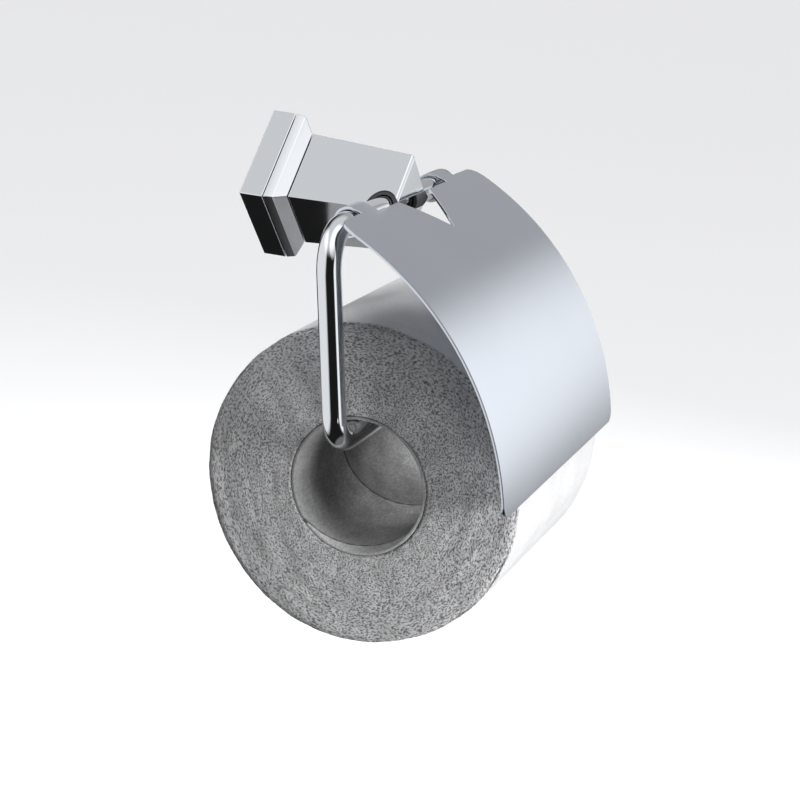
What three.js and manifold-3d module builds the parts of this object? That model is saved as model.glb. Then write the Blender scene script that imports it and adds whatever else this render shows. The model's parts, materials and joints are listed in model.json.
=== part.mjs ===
// Toilet paper holder with a cover: a square wall flange and a tapered square post, both turned so
// that a corner points up, a round rod bent to a C that swings in the post's tip and carries the
// roll, and a curved cover that turns on the same rod.
//
// Millimetres, +Z up. The origin is the centre of the flange's back face, on the wall (y = 0).
// The room is at -Y, and the rod and the roll run along X.

import * as THREE from 'three';
import { mergeVertices } from 'three/addons/utils/BufferGeometryUtils.js';
import Module from 'manifold-3d';

const wasm = await Module();
wasm.setup();

// ---- driving dimensions ----

const GAP = 0.3; // clearance between pieces that touch
const ROUND = 24; // sides of a small round piece
const FINE_ROUND = 32; // sides of the hinge's bushes and bore
const CORNER_STEPS = 8; // steps of a rounded corner

const FLANGE_SIDE = 36; // side of the square
const RIM_DEPTH = 8.4; // back ring, from the wall to the seam
const RIM_WALL = 1.8;
const FLANGE_STRAIGHT = 3.4; // nearly straight part in front of the seam
const FLANGE_DRAFT = 0.7; // by which that part narrows, corner to axis
const FLANGE_DEPTH = 15; // wall to the post's root
const FLANGE_WALL = 2.6;
const LIP_LENGTH = 1; // inner lip that centres the flange in the rim

const POST_ROOT_SIDE = 27.2;
const POST_TIP_SIDE = 24;
const POST_LENGTH = 53; // wall to the tip
const POST_BEVEL = 0.8;

const BRACKET_SIDE = 27;
const BRACKET_THICKNESS = 2.5;
const BRACKET_HOLE_R = 2.4;
const BRACKET_HOLE_Z = 11;
const LUG = { width: 9, thickness: 2, reach: 7, distance: 11.5 };
const SET_SCREW_R = 1.9;
const SET_SCREW_Y = -5;
const SET_SCREW_SUNK = 0.4;
const SOCKET = { floor: 0.45, past: 0.2, width: 0.55 }; // shares of a grub screw's length and radius

const BOLT = { r: 3, headR: 5, headLength: 4.5, length: 14, socketR: 2.8, socketFloor: 1.5 };
const WASHER = { r: 6, thickness: 1 };

const HINGE_Y = -48; // axis of the swing and of the cover
const ROD_R = 4;
const ROD_SIDES = 16;
const ROD_STEPS = 120;
const ARM_X = -64; // the rod's arm
const ARM_LENGTH = 69.9; // from the top leg's axis to the bottom leg's axis
const ARM_TILT = THREE.MathUtils.degToRad(6.9); // forward, so that the roll clears the wall
const TOP_BEND = 14;
const BOTTOM_BEND = 10;
const TOP_LEG_END = 49;
const BOTTOM_LEG_END = 62;
const CLIP = { r: 5.2, thickness: 0.8, open: 1.2, play: 0.2 };
const CAP = { r: 5.3, socket: 5, shoulder: 1.5, dome: 2.5 };
const GROOVE = { depth: 1.2, width: 3 };

const AXLE_SCREW_R = 1.4;
const AXLE_SCREW_SUNK = 2;
const BUSH_WALL = 1.2;
const BUSH_PLAY = 0.1;
const BUSH_INNER_X = 5;

const COVER_WIDTH = 133;
const COVER_THICKNESS = 1;
const COVER_RADIUS = 107; // outer face of the curved sheet
const COVER_START = THREE.MathUtils.degToRad(112); // where the sheet leaves its loops
const COVER_END = THREE.MathUtils.degToRad(173.7); // its bottom edge
const LOOP_END = THREE.MathUtils.degToRad(-150);
const LOOP_X = [34.5, 46]; // the loops' two sides, on each half
const LOOP_OVERLAP = THREE.MathUtils.degToRad(5); // of a loop into the sheet
const EDGE_Y = -52.5; // the sheet's edge outside its loops
const SLOT_Y = -54; // the sheet's edge beside the post
const NOTCH_HALF = 15.7;
const NOTCH_Y = -69.5; // the notch's point
const COVER_TOP_CORNER = 6;
const COVER_BOTTOM_CORNER = 4;
const COVER_STEPS = 36;
const TOP_CUT = [-10, 15]; // heights between which the sheet's upper edge is cut
const BOTTOM_CUT = [-2 * COVER_RADIUS, -88]; // y between which its lower corners are cut
const CUT_MARGIN = 3; // how far a cut runs past the edge

const ROLL_R = 55.8;
const ROLL_WIDTH = 100;
const ROLL_X = 3; // the roll's middle on the rod
const ROLL_Y = -59.2;
const ROLL_EDGE = 2.2; // rounding of the paper's edges
const CORE_R = 23; // inside of the cardboard core
const CORE_WALL = 1;
const CORE_EDGE = 0.2;
const ROLL_SEGMENTS = 72;
const ROLL_EDGE_STEPS = 4;

// ---- materials ----

const chrome = new THREE.MeshStandardMaterial({ color: 0xc9cdd2, roughness: 0.08, metalness: 1 });
const steel = new THREE.MeshStandardMaterial({ color: 0x9ea2a6, roughness: 0.35, metalness: 1 });
const nylon = new THREE.MeshStandardMaterial({ color: 0x2c2d30, roughness: 0.5, metalness: 0 });
const paper = new THREE.MeshStandardMaterial({ color: 0xe9e9ea, roughness: 0.95, metalness: 0 });
const cardboard = new THREE.MeshStandardMaterial({ color: 0xa9a49c, roughness: 0.9, metalness: 0 });

// ---- helpers ----

// A closed geometry as a manifold solid, with its faces turned outwards.
function solid(geometry) {
  const bare = geometry.clone();
  bare.deleteAttribute('normal');
  bare.deleteAttribute('uv');
  const welded = mergeVertices(bare, 1e-4);
  const triangles = Uint32Array.from(welded.index.array);
  const points = Float32Array.from(welded.attributes.position.array);
  if (signedVolume(points, triangles) < 0) {
    for (let i = 0; i < triangles.length; i += 3) {
      [triangles[i + 1], triangles[i + 2]] = [triangles[i + 2], triangles[i + 1]];
    }
  }
  return new wasm.Manifold(new wasm.Mesh({ numProp: 3, vertProperties: points, triVerts: triangles }));
}

function signedVolume(points, triangles) {
  const corner = (i) => new THREE.Vector3().fromArray(points, 3 * triangles[i]);
  let volume = 0;
  for (let i = 0; i < triangles.length; i += 3) {
    volume += corner(i).dot(corner(i + 1).cross(corner(i + 2))) / 6;
  }
  return volume;
}

function geometryOf(body) {
  const mesh = body.getMesh();
  const geometry = new THREE.BufferGeometry();
  geometry.setAttribute('position', new THREE.BufferAttribute(Float32Array.from(mesh.vertProperties), 3));
  geometry.setIndex(new THREE.BufferAttribute(Uint32Array.from(mesh.triVerts), 1));
  geometry.computeVertexNormals();
  return geometry;
}

function named(name, body, material) {
  const mesh = new THREE.Mesh(geometryOf(body), material);
  mesh.name = name;
  return mesh;
}

// A solid of revolution about the Y axis, from [radius, y] points.
function turned(profile, segments) {
  return solid(new THREE.LatheGeometry(profile.map(([r, y]) => new THREE.Vector2(r, y)), segments));
}

// The same with four sides: a square section with its corners up, down and sideways.
function squareTurned(profile) {
  return turned(profile, 4);
}

// A solid of revolution about a line along X through [y, z], from [radius, x] points.
function turnedAlongX(profile, segments, y, z) {
  const points = profile.map(([r, x]) => new THREE.Vector2(r, x));
  const geometry = new THREE.LatheGeometry(points, segments);
  geometry.rotateZ(-Math.PI / 2);
  geometry.translate(0, y, z);
  return solid(geometry);
}

// A plain or tapered rod from one point to another.
function rodBetween(start, end, startR, endR = startR, sides = ROUND) {
  const from = new THREE.Vector3(...start);
  const along = new THREE.Vector3(...end).sub(from);
  const geometry = new THREE.CylinderGeometry(endR, startR, along.length(), sides);
  geometry.translate(0, along.length() / 2, 0);
  const turn = new THREE.Quaternion().setFromUnitVectors(new THREE.Vector3(0, 1, 0), along.normalize());
  geometry.applyQuaternion(turn);
  geometry.translate(...start);
  return solid(geometry);
}

// Places an outline of two coordinates and a depth: seen from above, from the side and from the front.
const FROM_ABOVE = new THREE.Matrix4();
const FROM_SIDE = new THREE.Matrix4().set(0, 0, 1, 0, 1, 0, 0, 0, 0, 1, 0, 0, 0, 0, 0, 1);
const FROM_FRONT = new THREE.Matrix4().set(1, 0, 0, 0, 0, 0, 1, 0, 0, 1, 0, 0, 0, 0, 0, 1);

// A flat outline, [x, y], [y, z] or [x, z], run from low to high along the third axis.
function prism(points, low, high, view) {
  const shape = new THREE.Shape(points.map(([u, v]) => new THREE.Vector2(u, v)));
  const geometry = new THREE.ExtrudeGeometry(shape, { depth: high - low, bevelEnabled: false });
  geometry.translate(0, 0, low);
  geometry.applyMatrix4(view);
  return solid(geometry);
}

// Points on an arc in a plane, from one angle to another.
function arc(centre, radius, start, end, steps) {
  return Array.from({ length: steps + 1 }, (_, i) => {
    const angle = start + ((end - start) * i) / steps;
    return [centre[0] + radius * Math.cos(angle), centre[1] + radius * Math.sin(angle)];
  });
}

const halfDiagonal = (side) => side * Math.SQRT1_2;

// ---- wall flange ----

const flangeHalf = halfDiagonal(FLANGE_SIDE);
const rimInside = halfDiagonal(FLANGE_SIDE - 2 * RIM_WALL);
const rootHalf = halfDiagonal(POST_ROOT_SIDE);
const tipHalf = halfDiagonal(POST_TIP_SIDE);

// A point under the flange, straight out from the middle of its lower far side.
function underside(distance, y) {
  return [distance * Math.SQRT1_2, y, -distance * Math.SQRT1_2];
}

function flangeRim() {
  const ring = squareTurned([
    [rimInside, 0],
    [flangeHalf, 0],
    [flangeHalf, -RIM_DEPTH],
    [rimInside, -RIM_DEPTH],
    [rimInside, 0],
  ]);
  const inner = underside(LUG.distance, SET_SCREW_Y);
  const outer = underside(FLANGE_SIDE, SET_SCREW_Y);
  const screwHole = rodBetween(inner, outer, SET_SCREW_R + GAP);
  return ring.subtract(screwHole);
}

function wallFlange() {
  const seam = -RIM_DEPTH - GAP;
  const lip = rimInside - GAP;
  const inside = halfDiagonal(FLANGE_SIDE - 2 * RIM_WALL - 2 * FLANGE_WALL);
  const front = -FLANGE_DEPTH;
  const shell = squareTurned([
    [0, front + FLANGE_WALL],
    [inside, front + FLANGE_WALL],
    [inside, -RIM_DEPTH + LIP_LENGTH],
    [lip, -RIM_DEPTH + LIP_LENGTH],
    [lip, seam],
    [flangeHalf, seam],
    [flangeHalf - FLANGE_DRAFT, seam - FLANGE_STRAIGHT],
    [rootHalf, front],
    [0, front],
  ]);
  return shell.subtract(rodBetween([0, 0, 0], [0, -2 * FLANGE_DEPTH, 0], BOLT.r + GAP));
}

// Plate that is screwed to the wall, with a lug for the set screw under the flange.
function wallBracket() {
  const half = halfDiagonal(BRACKET_SIDE);
  const plate = squareTurned([
    [0, 0],
    [half, 0],
    [half, -BRACKET_THICKNESS],
    [0, -BRACKET_THICKNESS],
  ]);
  const lug = new THREE.BoxGeometry(LUG.width, LUG.reach, LUG.thickness);
  lug.translate(0, -LUG.reach / 2, -LUG.distance);
  lug.rotateY(-Math.PI / 4);
  let bracket = plate.add(solid(lug));
  for (const z of [BRACKET_HOLE_Z, -BRACKET_HOLE_Z]) {
    const back = [0, BRACKET_THICKNESS, z];
    const front = [0, -2 * BRACKET_THICKNESS, z];
    bracket = bracket.subtract(rodBetween(back, front, BRACKET_HOLE_R));
  }
  return bracket;
}

// A headless screw with a hexagon socket in its outer end.
function grubScrew(from, to, r) {
  const start = new THREE.Vector3(...from);
  const end = new THREE.Vector3(...to);
  const floor = end.clone().lerp(start, SOCKET.floor);
  const past = end.clone().lerp(start, -SOCKET.past);
  const socketR = r * SOCKET.width;
  const socket = rodBetween(floor.toArray(), past.toArray(), socketR, socketR, 6);
  return rodBetween(from, to, r).subtract(socket);
}

function flangeSetScrew() {
  const inner = LUG.distance + LUG.thickness / 2 + GAP;
  const outer = FLANGE_SIDE / 2 - SET_SCREW_SUNK;
  return grubScrew(underside(inner, SET_SCREW_Y), underside(outer, SET_SCREW_Y), SET_SCREW_R);
}

// ---- post ----

function postOutline(shrink) {
  const root = -FLANGE_DEPTH - GAP;
  return squareTurned([
    [0, root],
    [rootHalf - shrink, root],
    [tipHalf - shrink, -POST_LENGTH + POST_BEVEL + shrink],
    [tipHalf - POST_BEVEL * Math.SQRT2 - shrink, -POST_LENGTH + shrink],
    [0, -POST_LENGTH + shrink],
  ]);
}

const bushR = ROD_R + GAP + BUSH_WALL;
const boreR = bushR + BUSH_PLAY;

function postBody() {
  const left = [-POST_ROOT_SIDE, HINGE_Y, 0];
  const right = [POST_ROOT_SIDE, HINGE_Y, 0];
  const bore = rodBetween(left, right, boreR, boreR, FINE_ROUND);
  const boltHole = rodBetween([0, 0, 0], [0, -FLANGE_DEPTH - BOLT.length, 0], BOLT.r + GAP);
  const screwHole = rodBetween([0, HINGE_Y, 0], [0, HINGE_Y, -POST_TIP_SIDE], AXLE_SCREW_R + GAP);
  return postOutline(0).subtract(bore).subtract(boltHole).subtract(screwHole);
}

// Sleeve between the post and the rod, with its outer end flush with the post's two faces.
function bush(side) {
  const inner = [side * BUSH_INNER_X, HINGE_Y, 0];
  const outer = [side * POST_ROOT_SIDE, HINGE_Y, 0];
  const sleeve = rodBetween(inner, outer, bushR, bushR, FINE_ROUND);
  const hole = rodBetween([0, HINGE_Y, 0], outer, ROD_R + GAP, ROD_R + GAP, FINE_ROUND);
  return sleeve.intersect(postOutline(GAP)).subtract(hole);
}

// Screw from below whose tip runs in the rod's groove and keeps the rod from sliding along.
function axleScrew() {
  const tip = [0, HINGE_Y, -(ROD_R - GROOVE.depth + GAP)];
  const end = [0, HINGE_Y, AXLE_SCREW_SUNK - tipHalf];
  return grubScrew(tip, end, AXLE_SCREW_R);
}

function postBolt() {
  const seat = -FLANGE_DEPTH + FLANGE_WALL;
  const headBack = seat + WASHER.thickness + 2 * GAP;
  const shank = rodBetween([0, headBack, 0], [0, seat - BOLT.length, 0], BOLT.r);
  const head = rodBetween([0, headBack + BOLT.headLength, 0], [0, headBack, 0], BOLT.headR);
  const socketFloor = [0, headBack + BOLT.socketFloor, 0];
  const socketMouth = [0, headBack + 2 * BOLT.headLength, 0];
  const socket = rodBetween(socketMouth, socketFloor, BOLT.socketR, BOLT.socketR, 6);
  return head.add(shank).subtract(socket);
}

function postWasher() {
  const back = -FLANGE_DEPTH + FLANGE_WALL + GAP;
  return turned(
    [
      [BOLT.r + GAP, back],
      [WASHER.r, back],
      [WASHER.r, back + WASHER.thickness],
      [BOLT.r + GAP, back + WASHER.thickness],
      [BOLT.r + GAP, back],
    ],
    ROUND,
  );
}

// ---- hanger bar ----
// Drawn in the plane of its two legs: x runs along the legs and z down the arm. The group that
// holds it puts that plane on the hinge and tilts it forward.

class Bend extends THREE.Curve {
  constructor(x, z, radius, start, end) {
    super();
    this.values = { x, z, radius, start, end };
  }

  getPoint(t) {
    const { x, z, radius, start, end } = this.values;
    const angle = start + (end - start) * t;
    return new THREE.Vector3(x + radius * Math.cos(angle), 0, z + radius * Math.sin(angle));
  }
}

function barPath() {
  const path = new THREE.CurvePath();
  const straight = (x, z, endX, endZ) => {
    path.add(new THREE.LineCurve3(new THREE.Vector3(x, 0, z), new THREE.Vector3(endX, 0, endZ)));
  };
  const topX = ARM_X + TOP_BEND;
  const bottomX = ARM_X + BOTTOM_BEND;
  const bottomZ = -ARM_LENGTH;
  straight(TOP_LEG_END, 0, topX, 0);
  path.add(new Bend(topX, -TOP_BEND, TOP_BEND, Math.PI / 2, Math.PI));
  straight(ARM_X, -TOP_BEND, ARM_X, bottomZ + BOTTOM_BEND);
  path.add(new Bend(bottomX, bottomZ + BOTTOM_BEND, BOTTOM_BEND, Math.PI, 1.5 * Math.PI));
  straight(bottomX, bottomZ, BOTTOM_LEG_END, bottomZ);
  return path;
}

function hangerBar() {
  const section = new THREE.Shape(
    arc([0, 0], ROD_R, 0, 2 * Math.PI, ROD_SIDES).slice(0, -1).map(([x, y]) => new THREE.Vector2(x, y)),
  );
  const options = { steps: ROD_STEPS, extrudePath: barPath(), bevelEnabled: false };
  const bar = solid(new THREE.ExtrudeGeometry(section, options));
  const half = GROOVE.width / 2;
  const around = rodBetween([-half, 0, 0], [half, 0, 0], 2 * ROD_R);
  const left = rodBetween([-2 * half, 0, 0], [2 * half, 0, 0], ROD_R - GROOVE.depth);
  return bar.subtract(around.subtract(left));
}

// Domed cap over the free end of the bottom leg.
function barEndCap() {
  const dome = arc([0, 0], 1, 0, Math.PI / 2, CORNER_STEPS);
  const inner = ROD_R + GAP;
  const profile = [
    [0, GAP],
    [inner, GAP],
    [inner, -CAP.socket],
    [CAP.r, -CAP.socket],
    ...dome.map(([r, x]) => [CAP.r * r, CAP.shoulder + CAP.dome * x]),
  ];
  profile[profile.length - 1][0] = 0;
  return turnedAlongX(profile.map(([r, x]) => [r, BOTTOM_LEG_END + x]), ROUND, 0, -ARM_LENGTH);
}

// Open ring snapped round the rod's free end, outside the far loop of the cover. The bend stops
// the near loop, so that the cover can't slide along.
function coverClip() {
  const inner = LOOP_X[1] + GAP;
  const outer = inner + CLIP.thickness;
  const disc = rodBetween([inner, 0, 0], [outer, 0, 0], CLIP.r);
  const hole = rodBetween([0, 0, 0], [2 * outer, 0, 0], ROD_R + CLIP.play);
  const mouth = [
    [-CLIP.open, 0],
    [CLIP.open, 0],
    [CLIP.open, -2 * CLIP.r],
    [-CLIP.open, -2 * CLIP.r],
  ];
  return disc.subtract(hole).subtract(prism(mouth, 0, 2 * outer, FROM_SIDE));
}

// ---- cover ----

// The part of a square corner that rounding it off takes away, with the corner at [x, y].
// outX and outY point out of the sheet.
function cornerWaste(x, y, outX, outY, radius) {
  const centre = [x - outX * radius, y - outY * radius];
  const quarter = arc([0, 0], radius, 0, Math.PI / 2, CORNER_STEPS);
  const rounded = quarter.map(([u, v]) => [centre[0] + outX * u, centre[1] + outY * v]);
  const pastX = x + outX * CUT_MARGIN;
  const pastY = y + outY * CUT_MARGIN;
  return [...rounded, [centre[0], pastY], [pastX, pastY], [pastX, centre[1]]];
}

function coverSheet() {
  const loopR = ROD_R + GAP + COVER_THICKNESS;
  const reach = COVER_RADIUS - loopR;
  const centre = [HINGE_Y - reach * Math.cos(COVER_START), -reach * Math.sin(COVER_START)];
  const inside = COVER_RADIUS - COVER_THICKNESS;
  const half = COVER_WIDTH / 2;
  const bottomEdge = centre[1] + COVER_RADIUS * Math.sin(COVER_END);

  const section = [
    ...arc(centre, COVER_RADIUS, COVER_START, COVER_END, COVER_STEPS),
    ...arc(centre, inside, COVER_END, COVER_START, COVER_STEPS),
  ];
  const loop = [
    ...arc([HINGE_Y, 0], loopR, COVER_START + LOOP_OVERLAP, LOOP_END, ROUND),
    ...arc([HINGE_Y, 0], ROD_R + GAP, LOOP_END, COVER_START + LOOP_OVERLAP, ROUND),
  ];
  const besidePost = [
    [-LOOP_X[0], HINGE_Y],
    [-LOOP_X[0], SLOT_Y],
    [-NOTCH_HALF, SLOT_Y],
    [0, NOTCH_Y],
    [NOTCH_HALF, SLOT_Y],
    [LOOP_X[0], SLOT_Y],
    [LOOP_X[0], HINGE_Y],
  ];
  let sheet = prism(section, -half, half, FROM_SIDE).subtract(prism(besidePost, ...TOP_CUT, FROM_ABOVE));
  for (const side of [-1, 1]) {
    const [low, high] = LOOP_X.map((x) => side * x).sort((a, b) => a - b);
    const past = side * (half + CUT_MARGIN);
    const besideLoop = [
      [side * LOOP_X[1], HINGE_Y],
      [side * LOOP_X[1], EDGE_Y],
      [past, EDGE_Y],
      [past, HINGE_Y],
    ];
    const topWaste = cornerWaste(side * half, EDGE_Y, side, 1, COVER_TOP_CORNER);
    const bottomWaste = cornerWaste(side * half, bottomEdge, side, -1, COVER_BOTTOM_CORNER);
    sheet = sheet
      .subtract(prism(besideLoop, ...TOP_CUT, FROM_ABOVE))
      .subtract(prism(topWaste, ...TOP_CUT, FROM_ABOVE))
      .subtract(prism(bottomWaste, ...BOTTOM_CUT, FROM_FRONT))
      .add(prism(loop, low, high, FROM_SIDE));
  }
  return sheet;
}

// ---- roll ----
// The core hangs on the bar's bottom leg, and its back is just clear of the wall.

const legY = HINGE_Y - ARM_LENGTH * Math.sin(ARM_TILT);
const legZ = -ARM_LENGTH * Math.cos(ARM_TILT);
const hang = CORE_R - ROD_R - GAP;
const rollZ = legZ - Math.sqrt(hang ** 2 - (ROLL_Y - legY) ** 2);

function ring(innerR, outerR, edge) {
  const low = ROLL_X - ROLL_WIDTH / 2;
  const high = ROLL_X + ROLL_WIDTH / 2;
  const outer = [
    ...arc([outerR - edge, low + edge], edge, -Math.PI / 2, 0, ROLL_EDGE_STEPS),
    ...arc([outerR - edge, high - edge], edge, 0, Math.PI / 2, ROLL_EDGE_STEPS),
  ];
  return turnedAlongX([[innerR, low], ...outer, [innerR, high], [innerR, low]], ROLL_SEGMENTS, ROLL_Y, rollZ);
}

function rollCore() {
  return ring(CORE_R, CORE_R + CORE_WALL, CORE_EDGE);
}

function rollPaper() {
  return ring(CORE_R + CORE_WALL + GAP, ROLL_R, ROLL_EDGE);
}

// ---- assembly ----

const holder = new THREE.Group();
holder.name = 'toilet_paper_holder';
holder.add(
  named('flange_rim', flangeRim(), chrome),
  named('wall_flange', wallFlange(), chrome),
  named('wall_bracket', wallBracket(), steel),
  named('flange_set_screw', flangeSetScrew(), steel),
  named('post_bolt', postBolt(), steel),
  named('post_washer', postWasher(), steel),
  named('post_body', postBody(), chrome),
  named('bush_near', bush(-1), nylon),
  named('bush_far', bush(1), nylon),
  named('axle_screw', axleScrew(), steel),
);

const hanger = new THREE.Group();
hanger.position.set(0, HINGE_Y, 0);
hanger.rotation.x = -ARM_TILT;
hanger.add(
  named('hanger_bar', hangerBar(), chrome),
  named('cover_clip', coverClip(), steel),
  named('bar_end_cap', barEndCap(), chrome),
);
holder.add(hanger);

holder.add(
  named('cover_sheet', coverSheet(), chrome),
  named('roll_core', rollCore(), cardboard),
  named('roll_paper', rollPaper(), paper),
);

export default holder;
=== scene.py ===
"""Wall-mounted toilet paper holder with a curved cover: the finished looks, round the fixed frame.

Metres, +Z up. The wall is the plane y = 0, the room is at -Y, and the bar and the roll run along X.
"""

import json
import math

import bmesh
import bpy
from bpy.props import FloatProperty, FloatVectorProperty, PointerProperty
from mathutils import Matrix, Vector, noise


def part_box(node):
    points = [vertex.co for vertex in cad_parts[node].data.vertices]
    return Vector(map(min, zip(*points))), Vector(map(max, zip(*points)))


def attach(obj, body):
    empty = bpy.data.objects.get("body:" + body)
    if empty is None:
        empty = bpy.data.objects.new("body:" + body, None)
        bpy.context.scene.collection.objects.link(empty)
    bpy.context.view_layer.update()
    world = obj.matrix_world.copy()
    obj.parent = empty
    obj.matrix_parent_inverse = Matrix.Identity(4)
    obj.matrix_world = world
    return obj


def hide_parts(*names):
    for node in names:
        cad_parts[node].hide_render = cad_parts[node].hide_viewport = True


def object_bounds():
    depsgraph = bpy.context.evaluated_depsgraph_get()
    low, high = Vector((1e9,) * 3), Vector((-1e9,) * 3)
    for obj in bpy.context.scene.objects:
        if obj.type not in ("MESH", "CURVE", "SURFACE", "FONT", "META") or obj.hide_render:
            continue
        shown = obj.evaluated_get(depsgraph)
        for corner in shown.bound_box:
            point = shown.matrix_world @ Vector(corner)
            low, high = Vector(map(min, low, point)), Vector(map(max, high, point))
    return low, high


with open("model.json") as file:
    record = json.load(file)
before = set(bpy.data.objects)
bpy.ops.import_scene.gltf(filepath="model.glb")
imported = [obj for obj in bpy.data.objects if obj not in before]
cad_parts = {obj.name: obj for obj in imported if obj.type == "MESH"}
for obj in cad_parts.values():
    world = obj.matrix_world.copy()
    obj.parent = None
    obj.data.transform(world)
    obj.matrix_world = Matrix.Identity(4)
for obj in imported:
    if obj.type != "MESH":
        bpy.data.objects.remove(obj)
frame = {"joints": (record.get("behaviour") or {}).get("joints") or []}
CAD_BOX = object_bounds()

bl_info = {
    "name": "Toilet Paper Holder",
    "version": (1, 0, 0),
    "blender": (4, 5, 0),
    "location": "3D View > Sidebar > Holder",
    "description": "Builds a chromed toilet paper holder with its cover and its roll",
    "category": "Add Mesh",
}

# ---- places that come from the frame ----

JOINTS = {joint["name"]: joint for joint in frame["joints"]}
HINGE = Vector(JOINTS["bar_swing"]["pos_m"])
RIM_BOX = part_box("flange_rim")
FLANGE_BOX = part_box("wall_flange")
POST_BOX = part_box("post_body")
BAR_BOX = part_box("hanger_bar")
ROLL_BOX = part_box("roll_paper")
CORE_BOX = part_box("roll_core")
COVER_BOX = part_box("cover_sheet")
ROLL_CENTRE = (ROLL_BOX[0] + ROLL_BOX[1]) / 2

FULL_TURN = 2 * math.pi
QUARTER_TURN = math.pi / 2
ALONG_X = Vector((1, 0, 0))
ALONG_Y = Vector((0, 1, 0))
WELD = 1e-6
SLIT = 0.0003  # clearance between pieces that touch
SEAM_START = math.radians(-133.6)  # the core's seam halfway along, measured from straight up
FINE_ROUND = 64  # sides of the turned pieces that show
ROUND = 48  # sides of the smaller ones
CLIP_GRIP = 0.0002  # clearance of the spring clip round the bar
CLIP_MOUTH = math.radians(15)  # half the clip's opening
CORE_EASE = 0.0002  # easing of the core's edges
SEAM_CUT = {"width": 0.0004, "depth": 0.0005}
CAP = {"socket": 0.005, "shoulder": 0.0015, "dome": 0.0025, "bead": 0.0004}
UNEVEN = {"creases": 0.00025, "fine": 0.00008, "layers": 0.00030, "dents": 0.00045, "dome": 0.0006}


def length(name, about, default):
    return FloatProperty(name=name, description=about, default=default, unit="LENGTH", precision=5)


def angle(name, about, degrees):
    return FloatProperty(name=name, description=about, default=math.radians(degrees), unit="ROTATION")


def colour(name, about, default):
    return FloatVectorProperty(
        name=name, description=about, default=default, subtype="COLOR", size=3, min=0, max=1
    )


class FlangeSizes(bpy.types.PropertyGroup):
    """The square flange, its fixing and the post, all turned so that a corner points up"""

    half: length("Half diagonal", "Centre of the flange to a corner", RIM_BOX[1].x)
    rim_depth: length("Rim depth", "Wall to the seam", -RIM_BOX[0].y)
    rim_wall: length("Rim wall", "Thickness of the rim's wall", 0.0018)
    straight: length("Straight part", "Depth of the front part before it slopes", 0.0034)
    draft: length("Draft", "How much that part narrows", 0.0007)
    depth: length("Flange depth", "Wall to the post's root", -FLANGE_BOX[0].y)
    wall: length("Flange wall", "Thickness of the front part", 0.0026)
    lip: length("Lip", "Length of the inner lip that centres the front part", 0.001)
    post_root: length("Post root", "Half diagonal of the post at the flange", POST_BOX[1].x)
    post_tip: length("Post tip", "Half diagonal of the post at its end", 0.024 * math.sqrt(0.5))
    post_start: length("Post start", "Wall to the post's root", -POST_BOX[1].y)
    post_end: length("Post end", "Wall to the post's tip", -POST_BOX[0].y)
    tip_bevel: length("Tip bevel", "Width of the bevel round the post's end face", 0.0008)
    edge_round: length("Edge rounding", "Softening of the plated edges", 0.0003)
    bracket_side: length("Bracket side", "Side of the plate on the wall", 0.027)
    bracket_thickness: length("Bracket thickness", "Thickness of that plate", 0.0025)
    lug_distance: length("Lug distance", "Centre to the middle of the bracket's lug", 0.0115)


class BarSizes(bpy.types.PropertyGroup):
    """The bent bar, its bearings, its clip and its end cap"""

    radius: length("Bar radius", "Radius of the round bar", 0.004)
    top_end: length("Top leg", "Middle to the end of the top leg", 0.049)
    bottom_end: length("Bottom leg", "Middle to the end of the bottom leg", BAR_BOX[1].x)
    top_bend: length("Top bend", "Centreline radius of the upper bend", 0.014)
    bottom_bend: length("Bottom bend", "Centreline radius of the lower bend", 0.010)
    groove_depth: length("Groove depth", "Depth of the groove for the axle screw", 0.0012)
    groove_width: length("Groove width", "Width of that groove", 0.003)
    bush_wall: length("Bush wall", "Thickness of the nylon sleeves", 0.0012)
    bush_inner: length("Bush inner end", "Middle to the sleeves' inner ends", 0.005)
    clip_x: length("Clip place", "Middle to the outer face of the spring clip", 0.0471)
    clip_thickness: length("Clip thickness", "Thickness of the spring clip", 0.0008)
    clip_radius: length("Clip radius", "Outer radius of the spring clip", 0.0052)
    cap_radius: length("Cap radius", "Radius of the end cap", 0.0053)


class CoverSizes(bpy.types.PropertyGroup):
    """The curved cover and the two loops that it turns on"""

    half_width: length("Half width", "Middle to a side of the cover", COVER_BOX[1].x)
    thickness: length("Thickness", "Thickness of the sheet", 0.001)
    radius: length("Radius", "Radius of the sheet's outer face", 0.107)
    start: angle("Start", "Where the sheet leaves its loops", 112)
    end: angle("End", "The sheet's bottom edge", 173.7)
    loop_end: angle("Loop end", "Where the loops end under the bar", -150)
    loop_inner: length("Loop inner side", "Middle to a loop's inner side", 0.0345)
    loop_outer: length("Loop outer side", "Middle to a loop's outer side", 0.046)
    edge_y: length("Edge", "Wall to the sheet's edge outside its loops", 0.0525)
    slot_y: length("Slot", "Wall to the sheet's edge beside the post", 0.054)
    notch_y: length("Notch", "Wall to the point of the notch", 0.0695)
    notch_half: length("Notch half width", "Half the width of the notch", 0.0157)
    top_corner: length("Top corners", "Radius of the upper corners", 0.006)
    bottom_corner: length("Bottom corners", "Radius of the lower corners", 0.004)
    rim_round: length("Rim rounding", "Softening of the sheet's cut edge", 0.0002)


class RollSizes(bpy.types.PropertyGroup):
    """The paper roll and its cardboard core"""

    radius: length("Roll radius", "Radius of the wound paper", (ROLL_BOX[1].z - ROLL_BOX[0].z) / 2)
    half_width: length("Half width", "Half the width of the roll", (ROLL_BOX[1].x - ROLL_BOX[0].x) / 2)
    edge: length("Edge", "Rounding of the paper's edges", 0.0022)
    core_outer: length("Core outside", "Outer radius of the core", (CORE_BOX[1].z - CORE_BOX[0].z) / 2)
    core_wall: length("Core wall", "Thickness of the cardboard", 0.001)
    core_pitch: length("Core pitch", "Length of one turn of the core's seam", 0.050)
    unevenness: length("Unevenness", "How far the wound paper is out of round", 0.0007)


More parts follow.
